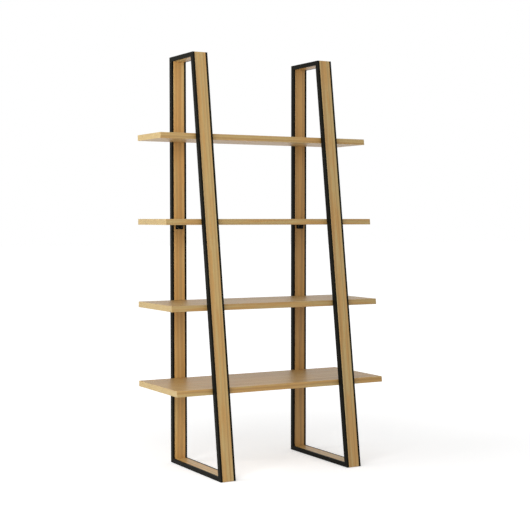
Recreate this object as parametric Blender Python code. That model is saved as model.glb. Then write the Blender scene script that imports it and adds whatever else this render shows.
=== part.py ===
# Etagere: four oak shelves held between two trapezoid side frames.
# Each side frame is an oak band between two welded loops of black steel flat bar.
# Metres. X runs along the shelves, the front faces -Y, Z is up.
# The origin is on the floor, under the middle of the whole piece.

import math

import bmesh
import bpy
from mathutils import Vector

# Clear heights, from the floor up
BOTTOM_BAY = 0.3570
LOWER_BAY = 0.3230
MIDDLE_BAY = 0.3350
UPPER_BAY = 0.3380
TOP_BAY = 0.3280

# Shelves
SHELF_THICKNESS = 0.0250
SHELF_OVERHANG = 0.1630
SHELF_EDGE = 0.0012

# Side frames: depth of the trapezoid at its top and at its foot, and the bars round it
FRAME_SPACING = 0.6220
TOP_DEPTH = 0.2360
FOOT_DEPTH = 0.4930
POST_DEPTH = 0.0230
RAIL_HEIGHT = 0.0190
OAK_WIDTH = 0.0520
STEEL_THICKNESS = 0.0090
OAK_EDGE = 0.0008
STEEL_EDGE = 0.0006

# Loose tenons at the corners of the oak band: the walls left round them and their reach into the rail
TENON_SIDE_WALL = 0.0110
TENON_FACE_WALL = 0.0065
TENON_END_WALL = 0.0110
TENON_IN_RAIL = 0.0160

# Steel pins that carry the shelves, and the wall of the post left behind them
PIN_DIAMETER = 0.0080
PIN_IN_SHELF = 0.0260
PIN_END_WALL = 0.0090
PIN_CHAMFER = 0.0008

# Angle cleats under the shelf at mid height
CLEAT_WIDTH = 0.0360
CLEAT_HEIGHT = 0.0200
CLEAT_REACH = 0.0200
CLEAT_THICKNESS = 0.0030
CLEAT_EDGE = 0.0004

# Domed screws with a hexagon socket, two in each leg of a cleat
SCREW_SPACING = 0.0200
SCREW_DIAMETER = 0.0036
SCREW_TIP = 0.0036
SCREW_END_WALL = 0.0100
HEAD_DIAMETER = 0.0066
HEAD_RIM = 0.0006
HEAD_DOME = 0.0014
HEAD_FLAT = 0.0034
SOCKET_WIDTH = 0.0025
SOCKET_DEPTH = 0.0012

# Nailed glides under the bottom rails
GLIDE_DIAMETER = 0.0220
GLIDE_PROUD = 0.0015
GLIDE_EDGE = 0.0006
GLIDE_INSET = 0.0450
NAIL_DIAMETER = 0.0030
NAIL_LENGTH = 0.0110

# Gap between pieces that touch
FIT = 0.0003
# How far a cutter stands out of the face that it cuts
CUT_PROUD = 0.0020
# Radius of a point, as a share of its shank's
POINT = 0.3

# Sides of the round shapes, and the angles in degrees from which an edge is eased or shaded sharp
PIN_SIDES = 16
SCREW_SIDES = 12
SCREW_HOLE_SIDES = 8
SOCKET_SIDES = 6
GLIDE_SIDES = 24
SLOT_STEPS = 6
EASED_ANGLE = 30
SHARP_ANGLE = 35

# Colour, roughness and metallic value of each finish
OAK = ((0.50, 0.31, 0.14, 1.0), 0.50, 0.0)
BLACK_STEEL = ((0.025, 0.025, 0.023, 1.0), 0.45, 0.6)
BEECH = ((0.58, 0.38, 0.22, 1.0), 0.60, 0.0)
BRIGHT_STEEL = ((0.60, 0.60, 0.62, 1.0), 0.30, 1.0)
BLACK_SCREW = ((0.02, 0.02, 0.02, 1.0), 0.35, 0.8)
NYLON = ((0.03, 0.03, 0.03, 1.0), 0.55, 0.0)

SIDES = {"left": -1, "right": 1}
ENDS = ("rear", "front")

# Levels that follow from the bays
FRAME_FOOT = GLIDE_PROUD
BOTTOM_SHELF_TOP = BOTTOM_BAY + SHELF_THICKNESS
LOWER_SHELF_TOP = BOTTOM_SHELF_TOP + LOWER_BAY + SHELF_THICKNESS
UPPER_SHELF_TOP = LOWER_SHELF_TOP + MIDDLE_BAY + SHELF_THICKNESS
TOP_SHELF_TOP = UPPER_SHELF_TOP + UPPER_BAY + SHELF_THICKNESS
FRAME_TOP = TOP_SHELF_TOP + TOP_BAY + RAIL_HEIGHT
PINNED_SHELVES = {
    "top_shelf": TOP_SHELF_TOP,
    "lower_shelf": LOWER_SHELF_TOP,
    "bottom_shelf": BOTTOM_SHELF_TOP,
}
CLEATED_SHELF = ("upper_shelf", UPPER_SHELF_TOP)

# Lines of the side frame, seen from the side
BACK = FOOT_DEPTH / 2
REAR_POST_FACE = BACK - POST_DEPTH
SLANT = math.atan((FOOT_DEPTH - TOP_DEPTH) / (FRAME_TOP - FRAME_FOOT))
FRAME_WIDTH = OAK_WIDTH + 2 * STEEL_THICKNESS
SHELF_LENGTH = FRAME_SPACING + FRAME_WIDTH + 2 * SHELF_OVERHANG

# Places of the small pieces, about the middle plane of a side frame
TENON_WIDTH = OAK_WIDTH - 2 * TENON_SIDE_WALL
TENON_THICKNESS = RAIL_HEIGHT - 2 * TENON_FACE_WALL
RAIL_MIDDLES = {"top": FRAME_TOP - RAIL_HEIGHT / 2, "bottom": FRAME_FOOT + RAIL_HEIGHT / 2}
CLEAT_LEVEL = CLEATED_SHELF[1] - SHELF_THICKNESS - FIT
HEAD_HEIGHT = HEAD_RIM + HEAD_DOME
GLIDE_PLACES = {"rear": BACK - GLIDE_INSET, "front": -BACK + GLIDE_INSET}


def back_line(z):
    """Y of the frame's upright back at height z."""
    return BACK


def rear_post_face(z):
    """Y of the rear post's front face at height z."""
    return REAR_POST_FACE


def front_line(z):
    """Y of the frame's sloping front at height z."""
    return BACK - FOOT_DEPTH + (z - FRAME_FOOT) * math.tan(SLANT)


def front_post_face(z):
    """Y of the front post's back face at height z."""
    return front_line(z) + POST_DEPTH / math.cos(SLANT)


def rear_seat(z):
    """Y of what sits against the rear post."""
    return rear_post_face(z) - FIT


def front_seat(z):
    """Y of what sits against the front post."""
    return front_post_face(z) + FIT / math.cos(SLANT)


def outline_between(rear, front, z0, z1):
    """Outline in (y, z) of a piece between two lines of the side frame."""
    return [(rear(z0), z0), (rear(z1), z1), (front(z1), z1), (front(z0), z0)]


def add_prism(bm, ring_a, ring_b):
    """Closes two rings of matching points into a solid."""
    near = [bm.verts.new(p) for p in ring_a]
    far = [bm.verts.new(p) for p in ring_b]
    bm.faces.new(near)
    bm.faces.new(far)
    for i in range(len(near)):
        j = (i + 1) % len(near)
        bm.faces.new((near[i], near[j], far[j], far[i]))


def add_rod(bm, start, end, radius, sides):
    """A straight round rod between two points."""
    start, end = Vector(start), Vector(end)
    across = (end - start).orthogonal().normalized()
    up = (end - start).normalized().cross(across)
    turns = [2 * math.pi * i / sides for i in range(sides)]
    offsets = [radius * (math.cos(t) * across + math.sin(t) * up) for t in turns]
    add_prism(bm, [start + o for o in offsets], [end + o for o in offsets])


def add_turned(bm, profile, sides):
    """A turned shape about Z, from (radius, z) pairs between two points on the axis."""
    bottom = bm.verts.new((0, 0, profile[0][1]))
    top = bm.verts.new((0, 0, profile[-1][1]))
    turns = [2 * math.pi * i / sides for i in range(sides)]
    rings = []
    for radius, z in profile[1:-1]:
        rings.append([bm.verts.new((radius * math.cos(t), radius * math.sin(t), z)) for t in turns])
    for i in range(sides):
        j = (i + 1) % sides
        bm.faces.new((bottom, rings[0][j], rings[0][i]))
        bm.faces.new((top, rings[-1][i], rings[-1][j]))
        for low, high in zip(rings, rings[1:]):
            bm.faces.new((low[i], low[j], high[j], high[i]))


def add_slot(bm, z, width, thickness, y0, y1):
    """A flat bar with round edges, along Y at height z."""
    radius = thickness / 2
    ring = []
    for side in (1, -1):
        middle = side * (width / 2 - radius)
        for i in range(SLOT_STEPS + 1):
            turn = side * math.pi * (i / SLOT_STEPS - 0.5)
            ring.append((middle + side * radius * math.cos(turn), z + radius * math.sin(turn)))
    add_prism(bm, [(x, y0, h) for x, h in ring], [(x, y1, h) for x, h in ring])


def finish_material(name, look):
    """The piece's own material."""
    colour, roughness, metallic = look
    material = bpy.data.materials.new(name + "_finish")
    material.use_nodes = True
    shader = material.node_tree.nodes["Principled BSDF"]
    shader.inputs["Base Color"].default_value = colour
    shader.inputs["Roughness"].default_value = roughness
    shader.inputs["Metallic"].default_value = metallic
    material.diffuse_color = colour
    return material


def new_object(name, bm, parent):
    """Puts a finished bmesh into a named object, with its faces turned outwards."""
    bmesh.ops.recalc_face_normals(bm, faces=bm.faces)
    mesh = bpy.data.meshes.new(name)
    bm.to_mesh(mesh)
    bm.free()
    item = bpy.data.objects.new(name, mesh)
    bpy.context.scene.collection.objects.link(item)
    item.parent = parent
    return item


def new_piece(name, bm, look, parent=None):
    """A visible piece with its finish."""
    piece = new_object(name, bm, parent)
    piece.data.materials.append(finish_material(name, look))
    return piece


def new_turned_piece(name, profile, sides, look, parent=None):
    """A turned piece, shaded smooth between its sharp edges."""
    bm = bmesh.new()
    add_turned(bm, profile, sides)
    piece = new_piece(name, bm, look, parent)
    piece.data.shade_smooth()
    piece.data.set_sharp_from_angle(angle=math.radians(SHARP_ANGLE))
    return piece


def ease_edges(piece, width):
    """Breaks the piece's sharp edges."""
    bevel = piece.modifiers.new("eased_edges", "BEVEL")
    bevel.width = width
    bevel.segments = 1
    bevel.limit_method = "ANGLE"
    bevel.angle_limit = math.radians(EASED_ANGLE)


def cut(piece, bm):
    """Takes every shape in the bmesh out of the piece, and returns the cutter."""
    cutter = new_object(piece.name + "_cutter", bm, piece.parent)
    cutter.hide_render = True
    cutter.display_type = "WIRE"
    boolean = piece.modifiers.new("cuts", "BOOLEAN")
    boolean.operation = "DIFFERENCE"
    boolean.solver = "EXACT"
    boolean.object = cutter
    return cutter


def make_bar(name, outline, half_width, look, edge, parent=None):
    """A bar along X with the given outline of (y, z) points."""
    bm = bmesh.new()
    add_prism(bm, [(-half_width, y, z) for y, z in outline], [(half_width, y, z) for y, z in outline])
    piece = new_piece(name, bm, look, parent)
    ease_edges(piece, edge)
    return piece


def make_steel_loop(name, x0, x1, parent):
    """A welded trapezoid of flat bar, with mitred corners."""
    outer = outline_between(back_line, front_line, FRAME_FOOT, FRAME_TOP)
    low, high = FRAME_FOOT + RAIL_HEIGHT, FRAME_TOP - RAIL_HEIGHT
    inner = outline_between(rear_post_face, front_post_face, low, high)
    bm = bmesh.new()
    near_outer, far_outer = ([bm.verts.new((x, y, z)) for y, z in outer] for x in (x0, x1))
    near_inner, far_inner = ([bm.verts.new((x, y, z)) for y, z in inner] for x in (x0, x1))
    for i in range(4):
        j = (i + 1) % 4
        bm.faces.new((near_outer[i], near_outer[j], near_inner[j], near_inner[i]))
        bm.faces.new((far_outer[i], far_outer[j], far_inner[j], far_inner[i]))
        bm.faces.new((near_outer[i], near_outer[j], far_outer[j], far_outer[i]))
        bm.faces.new((near_inner[i], near_inner[j], far_inner[j], far_inner[i]))
    ease_edges(new_piece(name, bm, BLACK_STEEL, parent), STEEL_EDGE)


def joint_span(end, z, post_wall, reach):
    """Y range of what joins a post to a rail or shelf at height z: its end in the post, then its reach."""
    if end == "rear":
        return BACK - post_wall, rear_post_face(z) - reach
    return front_line(z) + post_wall, front_post_face(z) + reach


def tenon_span(end, z):
    return joint_span(end, z, TENON_END_WALL, TENON_IN_RAIL)


def pin_span(end, z):
    return joint_span(end, z, PIN_END_WALL, PIN_IN_SHELF)


def loosened(y0, y1):
    """The same Y range, longer by the fit at both ends."""
    gap = math.copysign(FIT, y1 - y0)
    return y0 - gap, y1 + gap


def add_mortise(bm, end, z):
    y0, y1 = loosened(*tenon_span(end, z))
    add_slot(bm, z, TENON_WIDTH + 2 * FIT, TENON_THICKNESS + 2 * FIT, y0, y1)


def add_pin_hole(bm, end, x, z):
    y0, y1 = loosened(*pin_span(end, z))
    add_rod(bm, (x, y0, z), (x, y1, z), PIN_DIAMETER / 2 + FIT, PIN_SIDES)


def cleat_screws(end):
    """Name, place under the head, driven direction and reach of each screw of a cleat."""
    post_leg = CLEAT_LEVEL - (CLEAT_HEIGHT + CLEAT_THICKNESS) / 2
    shelf_leg = (CLEAT_REACH + HEAD_HEIGHT + CLEAT_THICKNESS) / 2
    if end == "rear":
        post_way = Vector((0, 1, 0))
        post_y = rear_seat(post_leg) - CLEAT_THICKNESS
        shelf_y = rear_seat(CLEAT_LEVEL) - shelf_leg
    else:
        post_way = Vector((0, -math.cos(SLANT), math.sin(SLANT)))
        post_y = front_seat(post_leg) + CLEAT_THICKNESS / math.cos(SLANT)
        shelf_y = front_seat(CLEAT_LEVEL) + shelf_leg
    into_post = CLEAT_THICKNESS + POST_DEPTH - SCREW_END_WALL
    into_shelf = CLEAT_THICKNESS + SHELF_THICKNESS - SCREW_END_WALL
    for letter, x in (("a", -SCREW_SPACING / 2), ("b", SCREW_SPACING / 2)):
        yield "post_screw_" + letter, Vector((x, post_y, post_leg)), post_way, into_post
        under_leg = Vector((x, shelf_y, CLEAT_LEVEL - CLEAT_THICKNESS))
        yield "shelf_screw_" + letter, under_leg, Vector((0, 0, 1)), into_shelf


def add_screw_hole(bm, start, way, reach):
    add_rod(bm, start, start + way * (reach + FIT), SCREW_DIAMETER / 2 + FIT, SCREW_HOLE_SIDES)


def make_post(name, end, parent):
    """An oak post, full height, with its mortises, pin holes and screw holes."""
    lines = (back_line, rear_post_face) if end == "rear" else (front_post_face, front_line)
    outline = outline_between(*lines, FRAME_FOOT, FRAME_TOP)
    post = make_bar(name, outline, OAK_WIDTH / 2 - FIT, OAK, OAK_EDGE, parent)
    bm = bmesh.new()
    for z in RAIL_MIDDLES.values():
        add_mortise(bm, end, z)
    for top in PINNED_SHELVES.values():
        add_pin_hole(bm, end, 0, top - SHELF_THICKNESS / 2)
    for screw, *placing in cleat_screws(end):
        if screw.startswith("post"):
            add_screw_hole(bm, *placing)
    cut(post, bm)


def make_rail(name, z0, parent):
    """An oak rail between the posts, its front end cut to the slope, with a mortise in each end."""
    outline = outline_between(rear_seat, front_seat, z0, z0 + RAIL_HEIGHT)
    rail = make_bar(name, outline, OAK_WIDTH / 2 - FIT, OAK, OAK_EDGE, parent)
    bm = bmesh.new()
    for end in ENDS:
        add_mortise(bm, end, z0 + RAIL_HEIGHT / 2)
    if z0 == FRAME_FOOT:
        nail_end = FRAME_FOOT + NAIL_LENGTH + FIT
        for y in GLIDE_PLACES.values():
            start = (0, y, FRAME_FOOT - CUT_PROUD)
            add_rod(bm, start, (0, y, nail_end), NAIL_DIAMETER / 2 + FIT, SCREW_HOLE_SIDES)
    cut(rail, bm)


def make_cleat(name, end, parent):
    """A short angle in the corner between a post and the shelf above it."""
    seat, way, skew = (rear_seat, -1, 1) if end == "rear" else (front_seat, 1, 1 / math.cos(SLANT))
    thick = way * skew * CLEAT_THICKNESS
    top, under, foot = CLEAT_LEVEL, CLEAT_LEVEL - CLEAT_THICKNESS, CLEAT_LEVEL - CLEAT_HEIGHT
    tip = seat(top) + way * CLEAT_REACH
    outline = [(seat(top), top), (tip, top), (tip, under), (seat(under) + thick, under)]
    outline += [(seat(foot) + thick, foot), (seat(foot), foot)]
    cleat = make_bar(name, outline, CLEAT_WIDTH / 2, BLACK_STEEL, CLEAT_EDGE, parent)
    bm = bmesh.new()
    for _, start, drive, _ in cleat_screws(end):
        add_screw_hole(bm, start - drive * CUT_PROUD, drive, CLEAT_THICKNESS + 2 * CUT_PROUD)
    cut(cleat, bm)


def make_screw(name, start, way, reach, parent):
    """A domed screw with a hexagon socket, its head's underside just clear of the cleat."""
    shank, head, top = SCREW_DIAMETER / 2, HEAD_DIAMETER / 2, FIT + HEAD_HEIGHT
    profile = [(0, -reach), (shank * POINT, -reach), (shank, SCREW_TIP - reach), (shank, FIT), (head, FIT)]
    profile += [(head, FIT + HEAD_RIM), ((head + HEAD_FLAT / 2) / 2, top - HEAD_DOME / 4)]
    profile += [(HEAD_FLAT / 2, top), (0, top)]
    screw = new_turned_piece(name, profile, SCREW_SIDES, BLACK_SCREW, parent)
    bm = bmesh.new()
    socket = (0, 0, top - SOCKET_DEPTH)
    add_rod(bm, socket, (0, 0, top + CUT_PROUD), SOCKET_WIDTH / math.sqrt(3), SOCKET_SIDES)
    for item in (screw, cut(screw, bm)):
        item.location = start
        item.rotation_mode = "QUATERNION"
        item.rotation_quaternion = (-way).to_track_quat("Z", "Y")


def make_glide(name, y, parent):
    """A nylon disc with a nail up into the rail."""
    radius, nail, disc = GLIDE_DIAMETER / 2, NAIL_DIAMETER / 2, GLIDE_PROUD - FIT
    tip = FRAME_FOOT + NAIL_LENGTH
    profile = [(0, 0), (radius - GLIDE_EDGE, 0), (radius, GLIDE_EDGE), (radius, disc), (nail, disc)]
    profile += [(nail, tip - NAIL_DIAMETER), (nail * POINT, tip), (0, tip)]
    glide = new_turned_piece(name, profile, GLIDE_SIDES, NYLON, parent)
    glide.location = (0, y, 0)


def make_pin(name, x, y0, y1, z):
    """A straight steel pin with chamfered ends, along Y."""
    radius, length = PIN_DIAMETER / 2, abs(y1 - y0)
    profile = [(0, 0), (radius - PIN_CHAMFER, 0), (radius, PIN_CHAMFER)]
    profile += [(radius, length - PIN_CHAMFER), (radius - PIN_CHAMFER, length), (0, length)]
    pin = new_turned_piece(name, profile, PIN_SIDES, BRIGHT_STEEL)
    pin.location = (x, min(y0, y1), z)
    pin.rotation_euler = (-math.pi / 2, 0, 0)


def make_tenon(name, end, z, parent):
    """A loose beech tenon with round edges."""
    bm = bmesh.new()
    add_slot(bm, z, TENON_WIDTH, TENON_THICKNESS, *tenon_span(end, z))
    new_piece(name, bm, BEECH, parent)


def make_side_frame(side):
    """Two steel loops with an oak band between them, its joints, glides and cleats."""
    frame = bpy.data.objects.new(side + "_frame", None)
    bpy.context.scene.collection.objects.link(frame)
    frame.location.x = SIDES[side] * FRAME_SPACING / 2
    for place, way in (("outer", SIDES[side]), ("inner", -SIDES[side])):
        faces = (way * FRAME_WIDTH / 2, way * (FRAME_WIDTH / 2 - STEEL_THICKNESS))
        make_steel_loop(f"{side}_{place}_steel_loop", *faces, frame)
    make_rail(side + "_top_rail", FRAME_TOP - RAIL_HEIGHT, frame)
    make_rail(side + "_bottom_rail", FRAME_FOOT, frame)
    for end in ENDS:
        corner = f"{side}_{end}"
        make_post(corner + "_post", end, frame)
        for rail, z in RAIL_MIDDLES.items():
            make_tenon(f"{corner}_{rail}_tenon", end, z, frame)
        make_cleat(corner + "_cleat", end, frame)
        for screw, *placing in cleat_screws(end):
            make_screw(f"{corner}_cleat_{screw}", *placing, frame)
        make_glide(corner + "_glide", GLIDE_PLACES[end], frame)


def make_shelf(name, top):
    """A shelf that fills the frames from post to post, its front edge cut to the slope."""
    outline = outline_between(rear_seat, front_seat, top - SHELF_THICKNESS, top)
    return make_bar(name, outline, SHELF_LENGTH / 2, OAK, SHELF_EDGE)


def make_pinned_shelf(name, top):
    """A shelf on four pins, one in each post."""
    shelf = make_shelf(name, top)
    z = top - SHELF_THICKNESS / 2
    bm = bmesh.new()
    for side, sign in SIDES.items():
        x = sign * FRAME_SPACING / 2
        for end in ENDS:
            add_pin_hole(bm, end, x, z)
            make_pin(f"{name}_{side}_{end}_pin", x, *pin_span(end, z), z)
    cut(shelf, bm)


def make_cleated_shelf(name, top):
    """The shelf that is screwed down on the four cleats."""
    shelf = make_shelf(name, top)
    bm = bmesh.new()
    for sign in SIDES.values():
        middle = Vector((sign * FRAME_SPACING / 2, 0, 0))
        for end in ENDS:
            for screw, start, way, reach in cleat_screws(end):
                if screw.startswith("shelf"):
                    add_screw_hole(bm, start + middle, way, reach)
    cut(shelf, bm)


for old in list(bpy.data.objects):
    bpy.data.objects.remove(old, do_unlink=True)
for side_name in SIDES:
    make_side_frame(side_name)
for shelf_name, shelf_top in PINNED_SHELVES.items():
    make_pinned_shelf(shelf_name, shelf_top)
make_cleated_shelf(*CLEATED_SHELF)
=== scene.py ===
import math
import bpy
import numpy as np
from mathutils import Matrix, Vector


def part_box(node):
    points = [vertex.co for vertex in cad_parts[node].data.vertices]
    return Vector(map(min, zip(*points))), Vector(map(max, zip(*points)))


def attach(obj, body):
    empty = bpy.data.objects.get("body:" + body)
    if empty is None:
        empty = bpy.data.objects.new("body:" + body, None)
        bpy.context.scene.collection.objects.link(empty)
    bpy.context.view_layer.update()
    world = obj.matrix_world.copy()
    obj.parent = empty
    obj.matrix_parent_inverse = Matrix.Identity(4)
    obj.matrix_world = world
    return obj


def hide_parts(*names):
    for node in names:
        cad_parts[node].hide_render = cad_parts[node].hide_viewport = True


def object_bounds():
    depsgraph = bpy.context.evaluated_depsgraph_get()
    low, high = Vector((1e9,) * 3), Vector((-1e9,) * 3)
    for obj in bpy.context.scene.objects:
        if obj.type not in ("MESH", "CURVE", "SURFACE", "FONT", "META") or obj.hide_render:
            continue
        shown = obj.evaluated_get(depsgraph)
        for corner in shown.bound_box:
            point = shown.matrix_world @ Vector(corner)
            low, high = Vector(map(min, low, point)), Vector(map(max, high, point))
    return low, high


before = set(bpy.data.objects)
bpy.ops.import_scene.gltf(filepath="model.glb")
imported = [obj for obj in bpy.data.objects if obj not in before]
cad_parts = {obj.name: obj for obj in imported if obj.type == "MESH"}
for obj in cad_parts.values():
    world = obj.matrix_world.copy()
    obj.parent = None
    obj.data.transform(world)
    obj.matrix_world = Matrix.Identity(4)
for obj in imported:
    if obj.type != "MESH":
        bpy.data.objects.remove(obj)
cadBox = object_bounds()
print("frame loaded:", len(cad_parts), "nodes")


# The trapezoid of a side frame, seen from the side, in metres
sideShape = {
    "footDepth": 0.493,
    "topDepth": 0.236,
    "postDepth": 0.023,   # square to each post
    "railHeight": 0.019,
    "fit": 0.0003,        # gap where two pieces meet
}
sideNames = ("left", "right")
endNames = ("rear", "front")
shelfNames = ("bottom_shelf", "lower_shelf", "upper_shelf", "top_shelf")
pinnedShelves = ("bottom_shelf", "lower_shelf", "top_shelf")

rearPostLow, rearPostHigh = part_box("left_rear_post")
footHeight, topHeight = rearPostLow.z, rearPostHigh.z
backLine, rearFace = rearPostHigh.y, rearPostLow.y
slope = (sideShape["footDepth"] - sideShape["topDepth"]) / (topHeight - footHeight)
slant = math.atan(slope)
frontFit = sideShape["fit"] / math.cos(slant)   # the gap at the sloping post, measured level


def frontLine(z):   # y of the sloping front at height z
    return backLine - sideShape["footDepth"] + (z - footHeight) * slope


def frontFace(z):   # y of the back face of the front post at height z
    return frontLine(z) + sideShape["postDepth"] / math.cos(slant)


def between(z0, z1):   # corners (y, z) of what fits between the posts from z0 to z1, anticlockwise
    rearY = rearFace - sideShape["fit"]
    return [(frontFace(z0) + frontFit, z0), (rearY, z0), (rearY, z1), (frontFace(z1) + frontFit, z1)]


# Surfaces

# Rounded outline of a polygon, one row of points for each inset and radius. Every side moves in by the
# inset, and every corner becomes an arc that touches both its sides: centre = corner + (inset + radius) *
# diagonal, where the diagonal is the sum of the two inward normals over one plus their product. A few
# points on the straights beside each arc keep the faces flat.
def roundedOutline(corners, insets, radii, arcSteps, besides):
    corners = np.asarray(corners, float)
    into = corners - np.roll(corners, 1, axis=0)
    into /= np.linalg.norm(into, axis=1, keepdims=True)
    onward = np.roll(into, -1, axis=0)
    inNormal = np.stack([-into[:, 1], into[:, 0]], axis=1)
    outNormal = np.stack([-onward[:, 1], onward[:, 0]], axis=1)
    facing = (inNormal * outNormal).sum(axis=1, keepdims=True)
    diagonal = (inNormal + outNormal) / (1 + facing)
    turn = np.arccos(np.clip(facing, -1, 1))[:, :, None]
    share = np.linspace(0, 1, arcSteps + 1)[None, :, None]
    ways = np.sin((1 - share) * turn) * inNormal[:, None] + np.sin(share * turn) * outNormal[:, None]
    ways /= -np.sin(turn)
    insets = np.asarray(insets, float)[:, None, None, None]
    radii = np.asarray(radii, float)[:, None, None, None]
    arcs = corners[None, :, None] + (insets + radii) * diagonal[None, :, None] + radii * ways[None]
    steps = np.asarray(besides, float)[None, None, :, None]
    before = arcs[:, :, :1] - steps[:, :, ::-1] * into[None, :, None]
    after = arcs[:, :, -1:] + steps * onward[None, :, None]
    rows = np.concatenate([before, arcs, after], axis=2)
    return rows.reshape(len(rows), -1, 2)


# How near each point of such an outline is to an arris: 1 on the arcs, falling to 0 along the straights
def besideShares(arcSteps, besides):
    fall = 1 - np.asarray(besides) / besides[-1]
    return np.concatenate([fall[::-1], np.ones(arcSteps + 1), fall])


# Stations along a piece with rounded ends: places along it, insets and nearness to the end's arris.
# A quarter turn leads from the flat end (inset = radius) to the full section (inset = 0). More stops may
# lie between the ends.
def roundedEnds(start, stop, radius, arcSteps, besides, stops=()):
    turn = np.linspace(math.pi / 2, 0, arcSteps + 1)
    flat = np.asarray(besides, float)
    places = np.concatenate([np.zeros(len(flat)), radius * (1 - np.sin(turn)), radius + flat])
    insets = np.concatenate([radius + flat[::-1], radius * (1 - np.cos(turn)), np.zeros(len(flat))])
    near = besideShares(arcSteps, besides)
    onEnd = np.arange(len(places)) < len(flat)
    plain = np.zeros(len(stops))
    return (
        np.concatenate([start + places, stops, (stop - places)[::-1]]),
        np.concatenate([insets, plain, insets[::-1]]),
        np.concatenate([near, plain, near[::-1]]),
        np.concatenate([onEnd, plain > 0, onEnd[::-1]]),
    )


endGrainFall = 4   # how fast end grain fades where a surface turns along the grain


# A mesh over a grid of points: a quad between each two neighbours in rows and columns. Columns close on
# themselves. Rows close too on a loop. Otherwise a fan round the middle of the first and last row closes
# each end.
def skin(name, grid, arris, looped=False, endGrainAxis=None):
    rows, columns = grid.shape[:2]
    here = np.arange(rows * columns).reshape(rows, columns)
    beside, above = np.roll(here, -1, axis=1), np.roll(here, -1, axis=0)
    quads = np.stack([here, beside, np.roll(above, -1, axis=1), above], axis=-1)
    faces = quads[: rows if looped else rows - 1].reshape(-1, 4).tolist()
    points, near = grid.reshape(-1, 3), arris.ravel()
    if not looped:
        middles = np.full(columns, here.size)
        faces += np.stack([beside[0], here[0], middles], axis=-1).tolist()
        faces += np.stack([here[-1], beside[-1], middles + 1], axis=-1).tolist()
        points = np.concatenate([points, [grid[0].mean(axis=0), grid[-1].mean(axis=0)]])
        near = np.append(near, (0, 0))
    mesh = bpy.data.meshes.new(name)
    mesh.from_pydata(points, [], faces)
    mesh.attributes.new("arris", "FLOAT", "POINT").data.foreach_set("value", near.astype(np.float32))
    mesh.update()
    mesh.shade_smooth()
    if endGrainAxis is not None:   # 1 where the surface cuts the grain square
        normals = np.empty(points.size, np.float32)
        mesh.vertex_normals.foreach_get("vector", normals)
        facing = np.abs(normals.reshape(-1, 3) @ np.asarray(endGrainAxis, np.float32)) ** endGrainFall
        mesh.attributes.new("endGrain", "FLOAT", "POINT").data.foreach_set("value", facing)
    piece = bpy.data.objects.new(name, mesh)
    bpy.context.scene.collection.objects.link(piece)
    return piece


# A bar's section at each of its stations, drawn in at both ends, with the nearness to an arris
def sections(corners, start, stop, shape, stops=()):
    arcSteps, besides = shape["arcSteps"], shape["besides"]
    places, insets, near, onEnd = roundedEnds(start, stop, shape["endRadius"], arcSteps, besides, stops)
    radii = np.maximum(shape["cornerRadius"] - insets, shape["leastRadius"])
    outline = roundedOutline(corners, insets, radii, arcSteps, besides)
    around = np.tile(besideShares(arcSteps, besides), len(corners))
    arris = np.where(onEnd[:, None], near[:, None], np.maximum(near[:, None], around[None]))
    return places, outline, arris


# A bar: the rounded outline carried along an axis. The outline lies in the two axes that follow the
# bar's own (YZ for a bar along X, ZX for one along Y).
def bar(name, corners, start, stop, along, shape, endGrainAxis=None):
    places, outline, arris = sections(corners, start, stop, shape)
    lengthways = np.broadcast_to(places[:, None, None], (*outline.shape[:2], 1))
    grid = np.roll(np.concatenate([lengthways, outline], axis=2), "XYZ".index(along), axis=2)
    return skin(name, grid, arris, endGrainAxis=endGrainAxis)


# A strip of plate bent over once, across X: its section is carried along the line (y, z) of its outer
# face, which turns to its right. Turned angle = length past the first leg over the radius, held between
# none and the whole turn; place = start + first leg + radius * (sine * first way + (1 - cosine) * normal)
# + second leg.
def bentPlate(name, line, width, thickness, bend, shape):
    start, corner, stop = (np.asarray(point, float) for point in line)
    legs = np.array([np.linalg.norm(corner - start), np.linalg.norm(stop - corner)])
    way, onward = (corner - start) / legs[0], (stop - corner) / legs[1]
    turn = math.acos(way @ onward)
    legs -= bend["radius"] * math.tan(turn / 2)
    arc = bend["radius"] * turn
    middle = (width[0] + width[1]) / 2
    half = (width[1] - width[0]) / 2
    corners = [(-half, 0), (half, 0), (half, thickness), (-half, thickness)]
    stops = legs[0] + np.linspace(0, arc, bend["steps"] + 1)
    places, outline, arris = sections(corners, 0, legs.sum() + arc, shape, stops)
    angle = np.clip((places - legs[0]) / bend["radius"], 0, turn)[:, None]
    normal = np.array([way[1], -way[0]])
    foot = start + np.minimum(places, legs[0])[:, None] * way
    foot = foot + bend["radius"] * (np.sin(angle) * way + (1 - np.cos(angle)) * normal)
    foot = foot + np.maximum(places - legs[0] - arc, 0)[:, None] * onward
    inwards = np.cos(angle) * normal - np.sin(angle) * way
    face = foot[:, None] + outline[..., 1:] * inwards[:, None]
    return skin(name, np.concatenate([outline[..., :1] + middle, face], axis=2), arris)


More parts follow.
